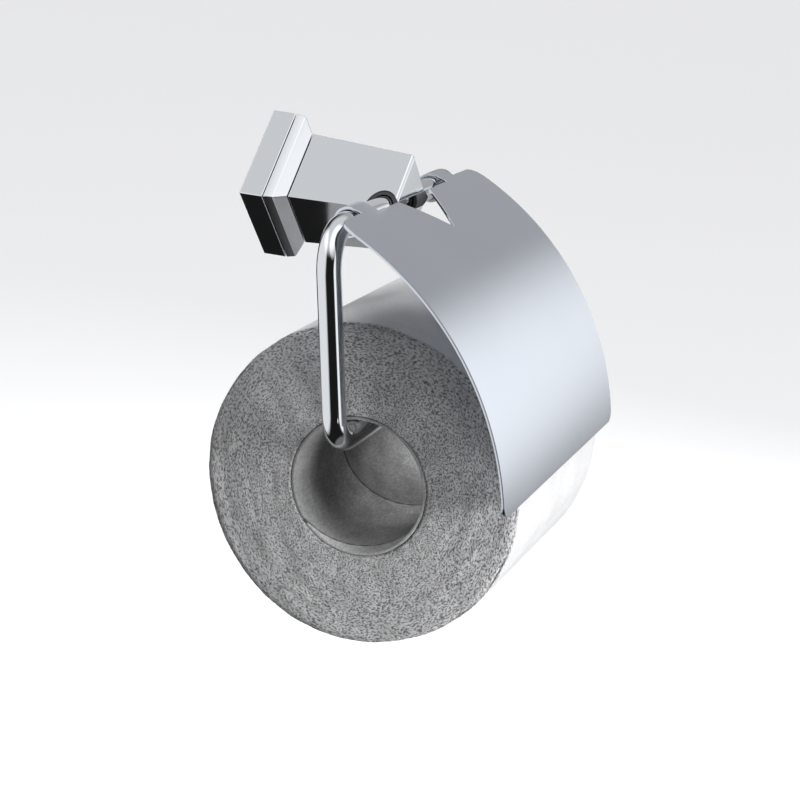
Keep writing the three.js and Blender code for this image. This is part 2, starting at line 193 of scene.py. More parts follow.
class HolderColours(bpy.types.PropertyGroup):
    """Colours of the finishes"""

    chrome: colour("Chrome", "Plated flange, post and bar", (0.80, 0.81, 0.83))
    cover: colour("Cover", "Plated sheet of the cover", (0.73, 0.76, 0.82))
    steel: colour("Steel", "Screws, clips and bracket", (0.50, 0.51, 0.52))
    nylon: colour("Nylon", "Sleeves in the post", (0.030, 0.031, 0.034))
    paper: colour("Paper", "Soft tissue", (0.80, 0.80, 0.81))
    board: colour("Board", "Cardboard core", (0.66, 0.66, 0.66))
    floor: colour("Floor", "Plain floor under the object", (0.93, 0.93, 0.94))


# ---- shaping ----


def join_up(bm, points, closed):
    """A line of edges through the points."""
    verts = [bm.verts.new(point) for point in points]
    pairs = list(zip(verts, verts[1:]))
    if closed:
        pairs.append((verts[-1], verts[0]))
    return verts, [bm.edges.new(pair) for pair in pairs]


def arc(radius, start, end, steps):
    """Points (across, along) on an arc about the origin."""
    turns = [start + (end - start) * i / steps for i in range(steps + 1)]
    return [(radius * math.cos(t), radius * math.sin(t)) for t in turns]


def between(start, end, steps):
    """Even steps from start up to, and not with, end."""
    return [start + (end - start) * i / steps for i in range(steps)]


def turned(profile, steps, axis=ALONG_Y, centre=(0, 0, 0)):
    """A solid of revolution from (radius, distance along the axis) points.

    Four steps give a square section whose corners point up, down and sideways.
    """
    bm = bmesh.new()
    centre = Vector(centre)
    out = ALONG_X if axis == ALONG_Y else Vector((0, 0, 1))
    hollow = profile[0][0] > 0
    points = [centre + out * radius + axis * along for radius, along in profile]
    verts, edges = join_up(bm, points, hollow)
    bmesh.ops.spin(
        bm, geom=verts + edges, cent=centre, axis=axis, angle=FULL_TURN, steps=steps, use_merge=True
    )
    tidy(bm)
    return bm


def tidy(bm):
    bmesh.ops.remove_doubles(bm, verts=bm.verts, dist=WELD)
    bmesh.ops.dissolve_degenerate(bm, dist=WELD, edges=bm.edges)
    bmesh.ops.recalc_face_normals(bm, faces=bm.faces)


def soften(bm, width, segments=3, sharper_than=25):
    """Rounds the edges of a solid that are sharper than an angle."""
    limit = math.radians(sharper_than)
    sharp = [e for e in bm.edges if e.is_manifold and e.calc_face_angle() > limit]
    bmesh.ops.bevel(
        bm, geom=sharp, offset=width, offset_type="OFFSET", segments=segments,
        profile=0.5, affect="EDGES", clamp_overlap=True, material=-1,
    )


def cylinder(start, end, radius, segments=ROUND):
    """A plain round solid from one point to another."""
    bm = bmesh.new()
    start = Vector(start)
    along = Vector(end) - start
    turn = along.to_track_quat("Z", "Y").to_matrix().to_4x4()
    place = Matrix.Translation(start + along / 2) @ turn
    bmesh.ops.create_cone(
        bm, cap_ends=True, segments=segments, radius1=radius, radius2=radius,
        depth=along.length, matrix=place,
    )
    return bm


def loose_object(bm, name):
    mesh = bpy.data.meshes.new(name)
    bm.to_mesh(mesh)
    bm.free()
    made = bpy.data.objects.new(name, mesh)
    bpy.context.scene.collection.objects.link(made)
    return made


def carve(bm, cutters, joined=()):
    """Cuts the cutters' solids out of a solid, and joins others to it."""
    piece = loose_object(bm, "uncut")
    tools = [(loose_object(tool, "joined"), "UNION") for tool in joined]
    tools += [(loose_object(tool, "cutter"), "DIFFERENCE") for tool in cutters]
    for tool, operation in tools:
        cut = piece.modifiers.new("cut", "BOOLEAN")
        cut.operation = operation
        cut.solver = "EXACT"
        cut.object = tool
    graph = bpy.context.evaluated_depsgraph_get()
    result = bmesh.new()
    result.from_object(piece, graph)
    for leftover in [piece] + [tool for tool, _ in tools]:
        bpy.data.objects.remove(leftover)
    bmesh.ops.remove_doubles(result, verts=result.verts, dist=WELD)
    return result


def finish_piece(bm, name, body, node, material, flat=True, crease=35):
    """Makes the shaped solid a piece of the object that rides on its body."""
    piece = loose_object(bm, name)
    mesh = piece.data
    mesh.materials.append(material)
    mesh.shade_smooth()
    mesh.set_sharp_from_angle(angle=math.radians(crease))
    if flat:
        even = piece.modifiers.new("flat faces", "WEIGHTED_NORMAL")
        even.keep_sharp = True
        even.weight = 100
    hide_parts(node)
    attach(piece, body)
    return piece


# ---- materials ----


def node(tree, kind, inputs=None, **settings):
    """Adds a shader node, sets it and joins its inputs."""
    made = tree.nodes.new(kind)
    for name, value in settings.items():
        setattr(made, name, value)
    for key, value in (inputs or {}).items():
        if isinstance(value, bpy.types.NodeSocket):
            tree.links.new(value, made.inputs[key])
        else:
            made.inputs[key].default_value = value
    return made


def blank(name):
    material = bpy.data.materials.new(name)
    material.use_nodes = True
    tree = material.node_tree
    return material, tree, tree.nodes["Principled BSDF"]


def object_place(tree, centre=(0, 0, 0), scale=(1, 1, 1)):
    """Object coordinates, measured from a centre and stretched."""
    place = node(tree, "ShaderNodeTexCoord")
    back = tuple(-c * s for c, s in zip(centre, scale))
    return node(
        tree, "ShaderNodeMapping",
        {"Vector": place.outputs["Object"], "Location": back, "Scale": scale},
    ).outputs["Vector"]


def grain(tree, vector, scale, detail=3.0, roughness=0.5):
    inputs = {"Vector": vector, "Scale": scale, "Detail": detail, "Roughness": roughness}
    return node(tree, "ShaderNodeTexNoise", inputs).outputs["Fac"]


def ranged(tree, value, low, high, to_low, to_high):
    inputs = {"Value": value, "From Min": low, "From Max": high, "To Min": to_low, "To Max": to_high}
    return node(tree, "ShaderNodeMapRange", inputs, interpolation_type="SMOOTHSTEP").outputs["Result"]


def sum_up(tree, operation, first, second):
    return node(tree, "ShaderNodeMath", {0: first, 1: second}, operation=operation).outputs["Value"]


def tinted(tree, factor, dark, light):
    """A colour between two others."""
    made = node(tree, "ShaderNodeMix", {"Factor": factor}, data_type="RGBA")
    made.inputs[6].default_value = (*dark, 1)
    made.inputs[7].default_value = (*light, 1)
    return made.outputs[2]


def shade(rgb, share):
    return tuple(channel * share for channel in rgb)


def relief(tree, height, distance, strength=1.0, normal=None):
    inputs = {"Height": height, "Distance": distance, "Strength": strength}
    if normal is not None:
        inputs["Normal"] = normal
    return node(tree, "ShaderNodeBump", inputs).outputs["Normal"]


def polished_chrome(name, tint, roughness, ripple):
    """Chrome plate: faint clouding, fine polishing haze and a slight ripple."""
    material, tree, shader = blank(name)
    place = object_place(tree)
    cloud = grain(tree, place, 35.0)
    haze = grain(tree, place, 900.0, 2.0)
    wave = grain(tree, place, 22.0, 1.0)
    shine = ranged(tree, cloud, 0.3, 0.7, roughness, roughness + 0.035)
    fine = ranged(tree, haze, 0.3, 0.75, 0.0, 0.02)
    tree.links.new(tinted(tree, cloud, shade(tint, 0.97), tint), shader.inputs["Base Color"])
    tree.links.new(sum_up(tree, "ADD", shine, fine), shader.inputs["Roughness"])
    tree.links.new(relief(tree, wave, ripple), shader.inputs["Normal"])
    shader.inputs["Metallic"].default_value = 1
    return material


def zinc_steel(name, tint, roughness):
    """Plain plated steel with turning marks and dull spots."""
    material, tree, shader = blank(name)
    place = object_place(tree)
    spots = grain(tree, place, 420.0, 4.0)
    marks = grain(tree, object_place(tree, scale=(1, 6, 1)), 1500.0, 2.0)
    dull = ranged(tree, spots, 0.3, 0.7, roughness - 0.06, roughness + 0.1)
    tree.links.new(tinted(tree, spots, shade(tint, 0.82), tint), shader.inputs["Base Color"])
    tree.links.new(dull, shader.inputs["Roughness"])
    tree.links.new(relief(tree, marks, 0.00004), shader.inputs["Normal"])
    shader.inputs["Metallic"].default_value = 1
    return material


def moulded_nylon(name, tint):
    """Dark nylon with a finely textured skin."""
    material, tree, shader = blank(name)
    skin = grain(tree, object_place(tree), 2600.0, 2.0)
    gloss = ranged(tree, skin, 0.3, 0.7, 0.42, 0.55)
    tree.links.new(tinted(tree, skin, shade(tint, 0.85), shade(tint, 1.15)), shader.inputs["Base Color"])
    tree.links.new(gloss, shader.inputs["Roughness"])
    tree.links.new(relief(tree, skin, 0.00003), shader.inputs["Normal"])
    return material


def round_the_roll(tree, radial, tangential):
    """Coordinates that follow the wound paper: out from the core, round it and across it."""
    parts = roll_place(tree)
    flat = node(tree, "ShaderNodeCombineXYZ", {"X": parts["Y"], "Y": parts["Z"]}).outputs["Vector"]
    out = node(tree, "ShaderNodeVectorMath", {0: flat}, operation="LENGTH").outputs["Value"]
    turn = sum_up(tree, "ARCTAN2", parts["Z"], parts["Y"])
    return node(
        tree, "ShaderNodeCombineXYZ",
        {
            "X": sum_up(tree, "MULTIPLY", out, radial),
            "Y": sum_up(tree, "MULTIPLY", turn, tangential),
            "Z": parts["X"],
        },
    ).outputs["Vector"]


def roll_place(tree):
    """Coordinates measured from the roll's middle, one output for each axis."""
    return node(tree, "ShaderNodeSeparateXYZ", {"Vector": object_place(tree, ROLL_CENTRE)}).outputs


def tissue_paper(name, tint):
    """Soft tissue: pitted ends that follow the winding, fine fibre and a dimpled skin; the pits are also
    painted dark, as painted shadow.
    """
    material, tree, shader = blank(name)
    wound = round_the_roll(tree, 1.0, PITS["tangential"])
    pits = grain(tree, wound, PITS["scale"], 2.0, PITS["roughness"])
    layers = grain(tree, round_the_roll(tree, 1.0, 0.004), 900.0, 2.0)
    fibre = grain(tree, object_place(tree), 2300.0, 3.0, 0.6)
    patches = grain(tree, object_place(tree), 60.0, 2.0)
    half = ROLL_BOX[1].x - ROLL_CENTRE.x
    from_middle = sum_up(tree, "ABSOLUTE", roll_place(tree)["X"], 0.0)
    at_end = ranged(tree, from_middle, half - PITS["fade_from"], half - PITS["fade_to"], PITS["skin"], 1.0)
    gap = sum_up(tree, "MULTIPLY", ranged(tree, pits, 0.30, 0.56, 1.0, 0.0), at_end)
    hole = sum_up(tree, "SUBTRACT", 1.0, gap)
    height = sum_up(tree, "ADD", hole, sum_up(tree, "MULTIPLY", layers, 0.35))
    height = sum_up(tree, "ADD", height, sum_up(tree, "MULTIPLY", fibre, 0.35))
    # painted shadow: the pits darken the paper's colour, down to a quarter of its tone
    tone_with_pit_shadow = sum_up(tree, "MULTIPLY", hole, ranged(tree, patches, 0.2, 0.8, 0.86, 1.0))
    tree.links.new(tinted(tree, tone_with_pit_shadow, shade(tint, 0.27), shade(tint, 1.04)), shader.inputs["Base Color"])
    tree.links.new(relief(tree, height, 0.00035), shader.inputs["Normal"])
    shader.inputs["Roughness"].default_value = 0.95
    shader.inputs["Sheen Weight"].default_value = 0.08
    shader.inputs["Specular IOR Level"].default_value = 0.2
    return material


def along_the_ply(tree, pitch):
    """Share of the way from one turn of the core's seam to the next."""
    parts = roll_place(tree)
    turn = sum_up(tree, "DIVIDE", sum_up(tree, "ARCTAN2", parts["Z"], parts["Y"]), FULL_TURN)
    wound = sum_up(tree, "ADD", turn, sum_up(tree, "DIVIDE", parts["X"], pitch))
    from_seam = sum_up(tree, "SUBTRACT", wound, (SEAM_START + QUARTER_TURN) / FULL_TURN)
    return sum_up(tree, "FRACT", from_seam, 0.0)


PITS = {
    "scale": 2300.0, "tangential": 0.022, "roughness": 0.55,
    "fade_from": 0.003, "fade_to": 0.001, "skin": 0.15,
}


def grey_board(name, tint, pitch):
    """Recycled grey cardboard with long fibres; painted light makes it darker before its seam than behind
    it, standing in for light through the core's far end.
    """
    material, tree, shader = blank(name)
    fibres = grain(tree, object_place(tree, scale=(0.3, 1, 1)), 1400.0, 4.0, 0.6)
    cloud = grain(tree, object_place(tree), 120.0, 3.0)
    mixed = sum_up(tree, "MULTIPLY", fibres, ranged(tree, cloud, 0.2, 0.8, 0.7, 1.2))
    turn = along_the_ply(tree, pitch)
    # painted light: each turn of the ply is lighter just past the seam and darker towards the next,
    # standing in for light through the far end
    mixed = sum_up(tree, "MULTIPLY", mixed, ranged(tree, turn, 0.0, 1.0, 0.65, 1.25))
    open_seam = ranged(tree, turn, 0.010, 0.018, 0.0, 1.0)
    mixed = sum_up(tree, "MULTIPLY", mixed, open_seam)
    tree.links.new(tinted(tree, mixed, shade(tint, 0.25), shade(tint, 1.25)), shader.inputs["Base Color"])
    tree.links.new(relief(tree, fibres, 0.00008), shader.inputs["Normal"])
    shader.inputs["Roughness"].default_value = 0.88
    shader.inputs["Specular IOR Level"].default_value = 0.25
    return material


def kept(name, make, *settings):
    """A material made once and shared by like pieces."""
    return bpy.data.materials.get(name) or make(name, *settings)


def flange_finish():
    return kept("flange chrome", polished_chrome, bpy.context.scene.holder_colours.chrome, 0.05, 0.00002)


def post_finish():
    return kept("post chrome", polished_chrome, bpy.context.scene.holder_colours.chrome, 0.06, 0.00002)


def bar_finish():
    return kept("bar chrome", polished_chrome, bpy.context.scene.holder_colours.chrome, 0.03, 0.00001)


def cover_finish():
    return kept("cover chrome", polished_chrome, bpy.context.scene.holder_colours.cover, 0.14, 0.00004)


def steel_finish():
    return kept("zinc steel", zinc_steel, bpy.context.scene.holder_colours.steel, 0.34)


# ---- flange and its fixing ----


def flange_ring(sizes):
    inside = sizes.half - sizes.rim_wall * math.sqrt(2)
    ring = turned(
        [(inside, 0), (sizes.half, 0), (sizes.half, -sizes.rim_depth), (inside, -sizes.rim_depth)], 4
    )
    soften(ring, sizes.edge_round)
    start = under_flange(sizes.lug_distance, SET_SCREW["y"])
    end = under_flange(2 * sizes.half, SET_SCREW["y"])
    return carve(ring, [cylinder(start, end, SET_SCREW["radius"] + SLIT)])


def flange_front(sizes):
    inner_lip = sizes.half - sizes.rim_wall * math.sqrt(2) - SLIT
    inside = inner_lip + SLIT - sizes.wall * math.sqrt(2)
    seam = -sizes.rim_depth - SLIT
    back = seam + SLIT + sizes.lip
    floor = sizes.wall - sizes.depth
    shell = turned(
        [
            (0, floor),
            (inside, floor),
            (inside, back),
            (inner_lip, back),
            (inner_lip, seam),
            (sizes.half, seam),
            (sizes.half - sizes.draft, seam - sizes.straight),
            (sizes.post_root, -sizes.depth),
            (0, -sizes.depth),
        ],
        4,
    )
    soften(shell, sizes.edge_round)
    return carve(shell, [cylinder((0, 0, 0), (0, -2 * sizes.depth, 0), BOLT["radius"] + SLIT)])


def under_flange(distance, y):
    """A point straight out from the middle of the flange's lower far side."""
    return (distance * math.sqrt(0.5), y, -distance * math.sqrt(0.5))


SET_SCREW = {"radius": 0.0019, "y": -0.005, "sunk": 0.0004}
AXLE_SCREW = {"radius": 0.0014, "sunk": 0.002}
BOLT = {
    "radius": 0.003, "head_radius": 0.005, "head": 0.0045, "length": 0.014,
    "socket_radius": 0.0028, "socket_floor": 0.0015,
}
WASHER = {"radius": 0.006, "thickness": 0.001}
THREAD = {"pitch": 0.0005, "depth": 0.00022}
BRACKET_HOLE = {"radius": 0.0024, "z": 0.011}
LUG = {"width": 0.009, "thickness": 0.002, "reach": 0.007}
CHAMFER = 0.0003


def threaded(radius, start, end):
    """The zigzag outline of a thread along a shank."""
    turns = int((end - start) / THREAD["pitch"])
    points = []
    for turn in range(turns):
        at = start + turn * THREAD["pitch"]
        points += [(radius, at), (radius - THREAD["depth"], at + THREAD["pitch"] / 2)]
    return points + [(radius, end)]


def make_hexagonal(bm, radius, above, axis):
    """Turns the round socket of that radius, from a height up, into a hexagon."""
    sixth = FULL_TURN / 6
    for vert in bm.verts:
        along = vert.co.dot(axis)
        across = vert.co - axis * along
        if abs(across.length - radius) < WELD and along > above:
            side = ALONG_X if axis != ALONG_X else ALONG_Y
            turn = math.atan2(across.dot(axis.cross(side)), across.dot(side))
            spread = (turn + sixth / 2) % sixth - sixth / 2
            vert.co = axis * along + across * math.cos(sixth / 2) / math.cos(spread)


def grub_screw(start, end, radius):
    """A headless screw with a hexagon socket in its outer end."""
    start, end = Vector(start), Vector(end)
    size = (end - start).length
    socket = radius * 0.55
    floor = size * 0.55
    profile = [(0, 0), (radius - CHAMFER, 0)]
    profile += threaded(radius, CHAMFER, size - CHAMFER)
    profile += [(radius - CHAMFER, size), (socket, size), (socket, floor), (0, floor)]
    screw = turned(profile, ROUND)
    make_hexagonal(screw, socket, floor - WELD, ALONG_Y)
    turn = (end - start).to_track_quat("Y", "Z").to_matrix().to_4x4()
    bmesh.ops.transform(screw, matrix=Matrix.Translation(start) @ turn, verts=screw.verts)
    return screw


def post_bolt(sizes):
    seat = sizes.wall - sizes.depth
    under_head = seat + WASHER["thickness"] + 2 * SLIT
    top = under_head + BOLT["head"]
    tip = seat - BOLT["length"]
    floor = under_head + BOLT["socket_floor"]
    profile = [(0, tip), (BOLT["radius"] - CHAMFER, tip)]
    profile += threaded(BOLT["radius"], tip + CHAMFER, seat - sizes.wall)
    profile += [
        (BOLT["radius"], under_head),
        (BOLT["head_radius"], under_head),
        (BOLT["head_radius"], top - CHAMFER),
        (BOLT["head_radius"] - CHAMFER, top),
        (BOLT["socket_radius"], top),
        (BOLT["socket_radius"], floor),
        (0, floor),
    ]
    bolt = turned(profile, ROUND)
    make_hexagonal(bolt, BOLT["socket_radius"], floor - WELD, ALONG_Y)
    return bolt


def post_washer(sizes):
    back = sizes.wall - sizes.depth + SLIT
    inner = BOLT["radius"] + SLIT
    front = back + WASHER["thickness"]
    section = [(inner, back), (WASHER["radius"], back), (WASHER["radius"], front), (inner, front)]
    washer = turned(section, FINE_ROUND)
    soften(washer, CHAMFER / 2, 2)
    return washer


def wall_bracket(sizes):
    half = sizes.bracket_side * math.sqrt(0.5)
    plate = turned([(0, 0), (half, 0), (half, -sizes.bracket_thickness), (0, -sizes.bracket_thickness)], 4)
    soften(plate, CHAMFER)
    lug = bmesh.new()
    place = Matrix.Rotation(-math.pi / 4, 4, "Y") @ Matrix.Translation(
        (0, -LUG["reach"] / 2 - WELD, -sizes.lug_distance)
    )
    size = Matrix.Diagonal((LUG["width"], LUG["reach"] - 2 * SLIT, LUG["thickness"], 1))
    bmesh.ops.create_cube(lug, size=1, matrix=place @ size)
    soften(lug, CHAMFER / 2, 2)
    holes = []
    for z in (BRACKET_HOLE["z"], -BRACKET_HOLE["z"]):
        past = 2 * sizes.bracket_thickness
        holes.append(cylinder((0, past, z), (0, -past, z), BRACKET_HOLE["radius"]))
    return carve(plate, holes, [lug])


# ---- post ----


def post_half(sizes, y):
    """Half the post's diagonal at a place along it."""
    tip = sizes.tip_bevel - sizes.post_end
    share = (y + sizes.post_start) / (tip + sizes.post_start)
    return sizes.post_root + (sizes.post_tip - sizes.post_root) * share


def square_post(sizes, bar):
    root = -sizes.post_start
    bevelled = sizes.post_tip - sizes.tip_bevel * math.sqrt(2)
    outline = [
        (0, root),
        (sizes.post_root, root),
        (sizes.post_tip, sizes.tip_bevel - sizes.post_end),
        (bevelled, -sizes.post_end),
        (0, -sizes.post_end),
    ]
    post = turned(outline, 4)
    soften(post, sizes.edge_round)
    bore = bar.radius + SLIT + bar.bush_wall + SLIT / 3
    across = 2 * sizes.post_root
    cutters = [
        cylinder((-across, HINGE.y, 0), (across, HINGE.y, 0), bore, 96),
        cylinder((0, 0, 0), (0, -sizes.depth - BOLT["length"], 0), BOLT["radius"] + SLIT),
        cylinder((0, HINGE.y, 0), (0, HINGE.y, -across), AXLE_SCREW["radius"] + SLIT),
    ]
    return carve(post, cutters)


def nylon_bush(side, sizes, bar):
    """A sleeve whose outer end lies flush with the post's two faces."""
    inner = bar.radius + SLIT
    outer = inner + bar.bush_wall
    reach = post_half(sizes, HINGE.y)
    start = bar.bush_inner
    middle = (start + reach) / 2
    profile = [(inner, start), (outer, start), (outer, middle)]
    profile += [(outer, reach), (inner, reach), (inner, middle)]
    sleeve = turned([(r, side * x) for r, x in profile], FINE_ROUND, ALONG_X, HINGE)
    for vert in sleeve.verts:
        if abs(vert.co.x) > reach - WELD:
            faces = post_half(sizes, vert.co.y) - abs(vert.co.z)
            vert.co.x = side * (faces - SLIT * math.sqrt(2))
    return sleeve


# ---- bar ----


def bar_tilt(bar):
    """Where the bottom leg hangs below the hinge, and how far the arm leans from upright."""
    leg = BAR_BOX[0] + Vector((0, bar.radius, bar.radius))
    down = Vector((0, leg.y - HINGE.y, leg.z - HINGE.z))
    return down.length, math.atan2(-down.y, -down.z)


def on_hinge(bar):
    """Places what is drawn round an upright arm on the leaning one."""
    _, tilt = bar_tilt(bar)
    return Matrix.Translation(HINGE) @ Matrix.Rotation(-tilt, 4, "X")


def pulled(bm, ring, offset=(0, 0, 0), scale=1.0):
    """Extrudes a ring of edges, moves it and scales it about its centre."""
    geom = bmesh.ops.extrude_edge_only(bm, edges=ring)["geom"]
    verts = [g for g in geom if isinstance(g, bmesh.types.BMVert)]
    new = set(verts)
    bmesh.ops.translate(bm, verts=verts, vec=offset)
    middle = sum((v.co for v in verts), Vector()) / len(verts)
    bmesh.ops.scale(bm, verts=verts, vec=(scale,) * 3, space=Matrix.Translation(-middle))
    return [e for e in geom if isinstance(e, bmesh.types.BMEdge) and new.issuperset(e.verts)]


def bent(bm, ring, centre, steps):
    """Carries a ring of edges a quarter turn round a bend."""
    verts = list({v for e in ring for v in e.verts})
    swept = bmesh.ops.spin(
        bm, geom=verts + ring, cent=centre, axis=ALONG_Y, angle=-QUARTER_TURN, steps=steps
    )
    return [g for g in swept["geom_last"] if isinstance(g, bmesh.types.BMEdge)]


def hanger_bar(bar):
    arm, _ = bar_tilt(bar)
    arm_x = BAR_BOX[0].x + bar.radius
    half = bar.groove_width / 2
    narrow = 1 - bar.groove_depth / bar.radius
    bm = bmesh.new()
    upright = Matrix.Translation((bar.top_end, 0, 0)) @ Matrix.Rotation(QUARTER_TURN, 4, "Y")
    bmesh.ops.create_circle(bm, cap_ends=True, segments=ROUND, radius=bar.radius, matrix=upright)
    first = list(bm.edges)
    ring = pulled(bm, first, (half - bar.top_end, 0, 0))
    ring = pulled(bm, ring, scale=narrow)
    ring = pulled(bm, ring, (-bar.groove_width, 0, 0))
    ring = pulled(bm, ring, scale=1 / narrow)
    ring = pulled(bm, ring, (arm_x + bar.top_bend + half, 0, 0))
    ring = bent(bm, ring, (arm_x + bar.top_bend, 0, -bar.top_bend), 24)
    ring = pulled(bm, ring, (0, 0, bar.top_bend + bar.bottom_bend - arm))
    ring = bent(bm, ring, (arm_x + bar.bottom_bend, 0, bar.bottom_bend - arm), 20)
    ring = pulled(bm, ring, (bar.bottom_end - arm_x - bar.bottom_bend, 0, 0))
    bmesh.ops.edgeloop_fill(bm, edges=ring)
    bmesh.ops.bevel(
        bm, geom=first + ring, offset=bar.radius / 5, offset_type="OFFSET", segments=4,
        profile=0.5, affect="EDGES", material=-1,
    )
    tidy(bm)
    bmesh.ops.transform(bm, matrix=on_hinge(bar), verts=bm.verts)
    return bm


def bar_cap(bar):
    """A domed cap over the free end of the bottom leg."""
    arm, _ = bar_tilt(bar)
    socket, shoulder, dome, bead = CAP["socket"], CAP["shoulder"], CAP["dome"], CAP["bead"]
    inner = bar.radius + SLIT
    profile = [(0, SLIT), (inner, SLIT), (inner, -socket), (bar.cap_radius - bead, -socket)]
    profile += [(bar.cap_radius, bead - socket)]
    rounded = [(r * bar.cap_radius, shoulder + x * dome) for r, x in arc(1, 0, QUARTER_TURN, 12)]
    profile += rounded[:-1] + [(0, shoulder + dome)]
    cap = turned(profile, FINE_ROUND, ALONG_X)
    place = on_hinge(bar) @ Matrix.Translation((bar.bottom_end, 0, -arm))
    bmesh.ops.transform(cap, matrix=place, verts=cap.verts)
    return cap


def spring_clip(bar):
    """An open ring that grips the bar's free end and keeps the cover from sliding off."""
    inner, mouth = bar.radius + CLIP_GRIP, CLIP_MOUTH
    low, high = bar.clip_x - bar.clip_thickness, bar.clip_x
    bm = bmesh.new()
    corners = [(inner, low), (bar.clip_radius, low), (bar.clip_radius, high), (inner, high)]
    points = [Vector((x, 0, -r)) for r, x in corners]
    verts, edges = join_up(bm, points, True)
    turn = Matrix.Rotation(mouth, 3, "X")
    bmesh.ops.rotate(bm, verts=verts, cent=(0, 0, 0), matrix=turn)
    swept = bmesh.ops.spin(
        bm, geom=verts + edges, cent=(0, 0, 0), axis=ALONG_X, angle=FULL_TURN - 2 * mouth, steps=44
    )
    last = [g for g in swept["geom_last"] if isinstance(g, bmesh.types.BMEdge)]
    bmesh.ops.edgeloop_fill(bm, edges=edges)
    bmesh.ops.edgeloop_fill(bm, edges=last)
    tidy(bm)
    soften(bm, 0.0001, 2, 60)
    bmesh.ops.transform(bm, matrix=on_hinge(bar), verts=bm.verts)
    return bm


# ---- cover ----


def cover_centre(cover, loop_radius):
    """The middle of the sheet's arc, which runs smoothly into the loops round the bar."""
    reach = cover.radius - loop_radius
    return HINGE - Vector((0, math.cos(cover.start), math.sin(cover.start))) * reach


def curved_cover(cover, bar):
    """A flat blank, cut out, wrapped round the bar and the roll, and given its thickness."""
    loop_radius = bar.radius + SLIT + cover.thickness
    middle = cover_centre(cover, loop_radius)

    def flat(depth):
        """Distance along the sheet from the start of its arc to a depth from the wall."""
        return cover.radius * (math.acos((-depth - middle.y) / cover.radius) - cover.start)

    loop = -loop_radius * (cover.start - cover.loop_end)
    last = cover.radius * (cover.end - cover.start)
    blank_outline = [
        (0, flat(cover.notch_y)),
        (cover.notch_half, flat(cover.slot_y)),
        (cover.loop_inner, flat(cover.slot_y)),
        (cover.loop_inner, loop),
        (cover.loop_outer, loop),
        (cover.loop_outer, flat(cover.edge_y)),
        (cover.half_width, flat(cover.edge_y)),
        (cover.half_width, last),
        (0, last),
    ]
    bm = bmesh.new()
    verts = [bm.verts.new((x, s, 0)) for x, s in blank_outline]
    bm.faces.new(verts)
    for vert, radius in ((verts[6], cover.top_corner), (verts[7], cover.bottom_corner)):
        bmesh.ops.bevel(
            bm, geom=[vert], offset=radius, offset_type="OFFSET", segments=10,
            profile=0.5, affect="VERTICES", material=-1,
        )
    stations = between(loop, 0, 18) + between(0, last, 44)[1:]
    for station in stations[1:]:
        bmesh.ops.bisect_plane(
            bm, geom=bm.verts[:] + bm.edges[:] + bm.faces[:], dist=WELD,
            plane_co=(0, station, 0), plane_no=ALONG_Y,
        )
    bmesh.ops.remove_doubles(bm, verts=bm.verts, dist=cover.rim_round * 1.6)
    bmesh.ops.mirror(bm, geom=bm.verts[:] + bm.edges[:] + bm.faces[:], axis="X", merge_dist=WELD)
    bmesh.ops.remove_doubles(bm, verts=bm.verts, dist=WELD)
    for vert in bm.verts:
        x, s, _ = vert.co
        radius, centre = (cover.radius, middle) if s > 0 else (loop_radius, HINGE)
        turn = cover.start + s / radius
        vert.co = (x, centre.y + radius * math.cos(turn), centre.z + radius * math.sin(turn))
    bmesh.ops.recalc_face_normals(bm, faces=bm.faces)
    outward = max(bm.faces, key=lambda face: face.calc_area())
    if outward.normal.dot(outward.calc_center_median() - middle) < 0:
        bmesh.ops.reverse_faces(bm, faces=bm.faces)
    bmesh.ops.solidify(bm, geom=bm.faces[:], thickness=cover.thickness)
    bmesh.ops.remove_doubles(bm, verts=bm.verts, dist=WELD)
    limit = math.radians(60)
    cut_edge = [e for e in bm.edges if e.is_manifold and e.calc_face_angle() > limit]
    bmesh.ops.bevel(
        bm, geom=cut_edge, offset=cover.rim_round, offset_type="OFFSET", segments=2,
        profile=0.5, affect="EDGES", clamp_overlap=False, material=-1,
    )
    bmesh.ops.recalc_face_normals(bm, faces=bm.faces)
    return bm


# ---- roll ----


def wound_paper(roll):
    """The wound paper, with dense ends so that they can be uneven."""
    inner = roll.core_outer + SLIT
    low, high = -roll.half_width, roll.half_width
    rim = roll.radius - roll.edge
    left = [(rim + y, low + roll.edge - x) for x, y in arc(roll.edge, 0, QUARTER_TURN, 6)]
    right = [(r, -x) for r, x in reversed(left)]
    profile = [(r, low) for r in between(inner, rim, 34)] + left
    profile += [(roll.radius, x) for x in between(low + roll.edge, high - roll.edge, 40)[1:]]
    profile += right + [(r, high) for r in between(rim, inner, 34)[1:]]
    profile += [(inner, x) for x in between(high, low, 10)]
    paper = turned(profile, 320, ALONG_X, ROLL_CENTRE)
    for vert in paper.verts:
        vert.co += sag(vert.co - ROLL_CENTRE, roll, inner)
    bmesh.ops.recalc_face_normals(paper, faces=paper.faces)
    return paper


def sag(place, roll, inner):
    """How far soft paper lies from its true round shape."""
    out = Vector((0, place.y, place.z))
    radius = out.length
    out.normalize()
    share = (radius - inner) / (roll.radius - inner)
    broad = noise.noise(Vector((place.x * 6, out.y * 1.1, out.z * 1.1 + 4)))
    creases = noise.noise(Vector((place.x * 9, out.y * 9, out.z * 9)))
    fine = noise.noise(Vector((place.x * 500, out.y * 42, out.z * 42)))
    round_off = roll.unevenness * (1.1 * broad - 0.5)
    round_off += UNEVEN["creases"] * creases + UNEVEN["fine"] * fine
    end = math.copysign(1, place.x) if abs(place.x) > roll.half_width - roll.edge / 2 else 0
    layers = noise.noise(Vector((radius * 420, out.y * 3.5, out.z * 3.5)))
    dents = noise.noise(Vector((radius * 90, out.y * 5, out.z * 5 + end)))
    ends = UNEVEN["layers"] * layers + UNEVEN["dents"] * dents - UNEVEN["dome"] * share * share
    return out * (round_off * max(share, 0) ** 1.5) + ALONG_X * (end * ends)


